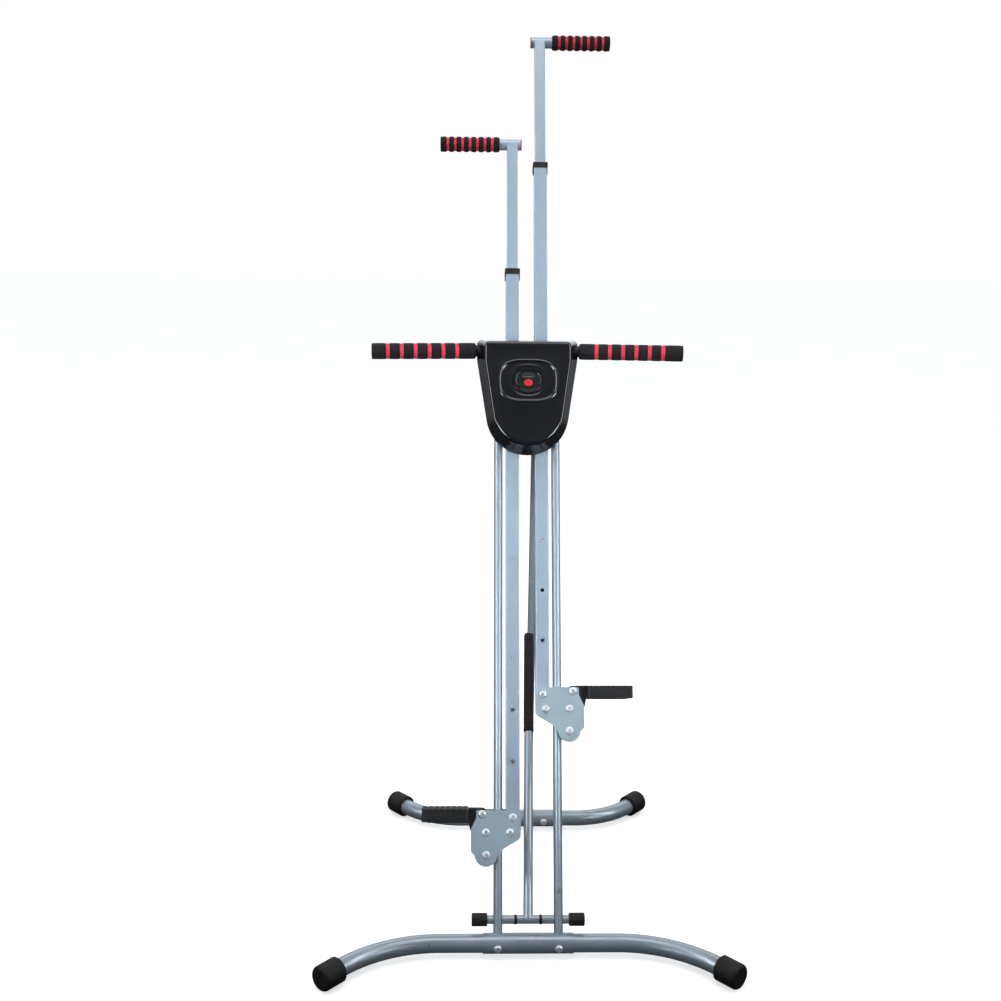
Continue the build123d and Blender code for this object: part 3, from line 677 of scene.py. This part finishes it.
def display_plate():
    """Small screen behind the window's upper half, with a raised frame."""
    section = [(13.2, 4.6, 4.0, 2.6), (13.2, 4.6, 4.0, 3.2), (12.8, 4.2, 4.0, 3.45),
               (12.0, 3.5, 4.4, 3.4), (11.7, 3.2, 4.4, 3.2)]
    rings = [
        oval_ring(half_x, half_s, power, DIAL_S + 10.6, DIAL_FLOOR - rise)
        for half_x, half_s, power, rise in section
    ]
    ringed_piece("console_display", rings, capped, display_glass(), "display_lens")


console_face()
dial_ring()
display_plate()


# Camera at the photograph's viewing angle

CAMERA_AT = Vector((-0.1296, -2.6895, 1.4924))
YAW, PITCH, ROLL = 0.0259, 0.2126, 0.0106
SENSOR, FOCAL_PIXELS, FRAME_PIXELS = 36.0, 1250, 1001


def add_camera():
    data = bpy.data.cameras.new("camera")
    data.sensor_width = SENSOR
    data.lens = SENSOR * FOCAL_PIXELS / FRAME_PIXELS
    data.clip_end = 100.0
    camera = bpy.data.objects.new("camera", data)
    bpy.context.scene.collection.objects.link(camera)
    ahead = Vector((sin(YAW) * cos(PITCH), cos(YAW) * cos(PITCH), -sin(PITCH)))
    right = Vector((cos(YAW), -sin(YAW), 0))
    up = right.cross(ahead)
    rolled_right = right * cos(ROLL) + up * sin(ROLL)
    rolled_up = up * cos(ROLL) - right * sin(ROLL)
    turned = Matrix((rolled_right, rolled_up, -ahead)).transposed().to_4x4()
    camera.matrix_world = Matrix.Translation(CAMERA_AT) @ turned
    bpy.context.scene.camera = camera


add_camera()


# Pale floor and soft studio light

def studio_floor():
    """Pale floor that takes the object's shadow but throws no light back at it."""
    half = 40.0
    mesh = bpy.data.meshes.new("studio_floor")
    corners = [(-half, -half, 0), (half, -half, 0), (half, half, 0), (-half, half, 0)]
    mesh.from_pydata(corners, [], [(0, 1, 2, 3)])
    shader = Shader("studio_paper", 0.9, Specular_IOR_Level=0.0, Emission_Strength=0.62)
    shader.colour((0.80, 0.80, 0.80), (0.78, 0.78, 0.785), 1.5)
    shader.bsdf.inputs["Emission Color"].default_value = (1.0, 1.0, 1.0, 1.0)
    mesh.materials.append(shader.material)
    floor = bpy.data.objects.new("studio_floor", mesh)
    bpy.context.scene.collection.objects.link(floor)
    floor.visible_diffuse = False
    floor.visible_glossy = False
    floor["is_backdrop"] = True


def area_light(name, place, target, size_x, size_y, power, colour=(1.0, 1.0, 1.0), spread=180.0):
    """Soft box aimed at the target; spread is in degrees."""
    data = bpy.data.lights.new(name, "AREA")
    data.shape = "RECTANGLE"
    data.size, data.size_y = size_x, size_y
    data.energy = power
    data.spread = radians(spread)
    data.color = colour
    light = bpy.data.objects.new(name, data)
    bpy.context.scene.collection.objects.link(light)
    light.location = place
    light.rotation_mode = "QUATERNION"
    light.rotation_quaternion = (Vector(target) - Vector(place)).to_track_quat("-Z", "Y")
    return light


studio_floor()
area_light("overhead", (0.0, -0.6, 4.4), (0.0, 0.0, 1.0), 2.6, 2.0, 44.0)
area_light("left_key", (-1.5, -2.1, 1.3), (0.0, 0.0, 1.05), 0.7, 1.1, 4.3, (0.88, 0.95, 1.0), 52.0)
area_light("right_key", (1.5, -2.0, 1.3), (0.0, 0.0, 1.05), 0.7, 1.1, 4.0, (0.88, 0.95, 1.0), 52.0)
area_light("back_fill", (0.0, 2.6, 2.2), (0.0, 0.1, 0.9), 4.0, 1.8, 24.0, (0.93, 0.97, 1.0))
for side, sign in SIDES:
    strip = area_light(f"{side}_gloss_strip", (sign * 2.4, -1.0, 2.3), (0.0, 0.1, 1.15), 0.45, 2.6, 44.0)
    strip.visible_diffuse = False


def studio_world():
    """White backdrop for the eye; for light and reflections a room that is dark below and behind the user."""
    world = bpy.data.worlds.new("studio")
    bpy.context.scene.world = world
    world.use_nodes = True
    tree = world.node_tree
    tree.nodes.clear()
    kinds = ("OutputWorld", "Background", "Background", "MixShader", "LightPath", "TexCoord",
             "SeparateXYZ", "MapRange", "MapRange", "Math")
    made = [tree.nodes.new(f"ShaderNode{kind}") for kind in kinds]
    output, seen, room, choose, path, place, parts, depth, height, both = made
    seen.inputs["Color"].default_value = (1.0, 1.0, 1.0, 1.0)
    room.inputs["Color"].default_value = (0.90, 0.955, 1.0, 1.0)
    for node, numbers in ((depth, (-0.9, 0.35, 0.22, 1.0)), (height, (-0.30, 0.35, 0.05, 0.72))):
        for socket, number in zip(RANGE_SOCKETS, numbers):
            node.inputs[socket].default_value = number
    both.operation = "MULTIPLY"
    tree.links.new(place.outputs["Generated"], parts.inputs[0])
    tree.links.new(parts.outputs["Y"], depth.inputs["Value"])
    tree.links.new(parts.outputs["Z"], height.inputs["Value"])
    tree.links.new(depth.outputs["Result"], both.inputs[0])
    tree.links.new(height.outputs["Result"], both.inputs[1])
    tree.links.new(both.outputs[0], room.inputs["Strength"])
    tree.links.new(path.outputs["Is Camera Ray"], choose.inputs["Fac"])
    tree.links.new(room.outputs[0], choose.inputs[1])
    tree.links.new(seen.outputs[0], choose.inputs[2])
    tree.links.new(choose.outputs[0], output.inputs["Surface"])


studio_world()
bpy.context.scene.view_settings.view_transform = "Standard"

low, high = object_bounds()
